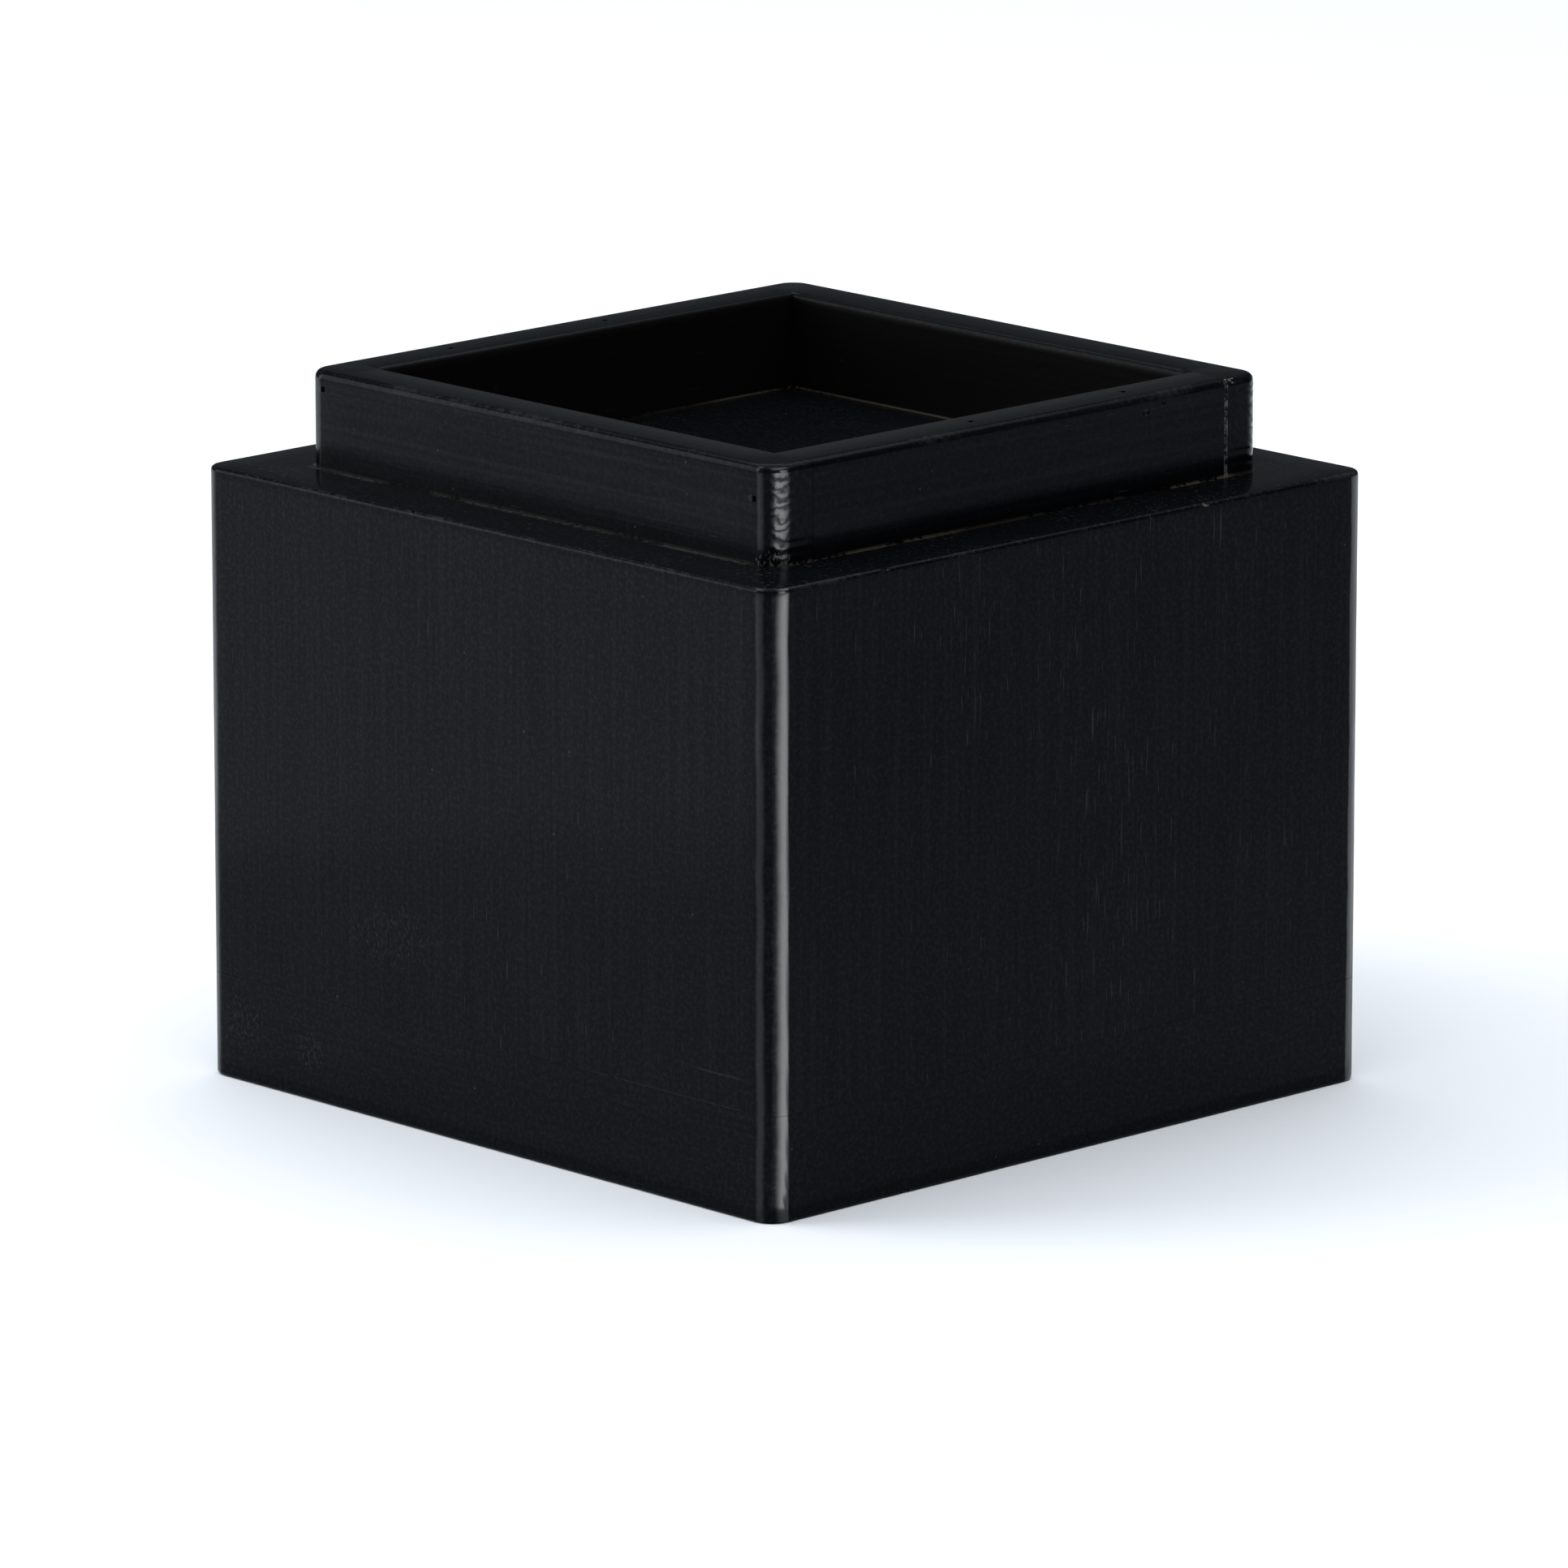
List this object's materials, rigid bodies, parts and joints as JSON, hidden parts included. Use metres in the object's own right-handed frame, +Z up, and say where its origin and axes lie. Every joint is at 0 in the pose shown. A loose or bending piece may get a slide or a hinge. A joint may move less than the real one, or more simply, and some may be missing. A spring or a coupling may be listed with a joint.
{
  "type": "bed riser",
  "caption": "Square lacquered timber bed riser: a block on a flush base board, with a raised frame of pinned rails that holds the foot of a bed leg.",
  "frame": {"origin": "middle of the underside, on the surface that the riser stands on", "axes": "+Z up; X along the two long rails of the top frame, Y along the two short rails"},
  "size_m": [0.1, 0.1, 0.088],
  "materials": {
    "black_lacquered_timber": "satin black lacquer with the open grain showing through",
    "pin_steel": "steel wire ends, dulled by a film of black lacquer"
  },
  "bodies": {
    "root": {"body_block": "black_lacquered_timber", "base_board": "black_lacquered_timber", "front_long_rail": "black_lacquered_timber", "rear_long_rail": "black_lacquered_timber", "left_short_rail": "black_lacquered_timber", "right_short_rail": "black_lacquered_timber", "corner_pins": "pin_steel", "rim_pins": "pin_steel"}
  },
  "joints": []
}
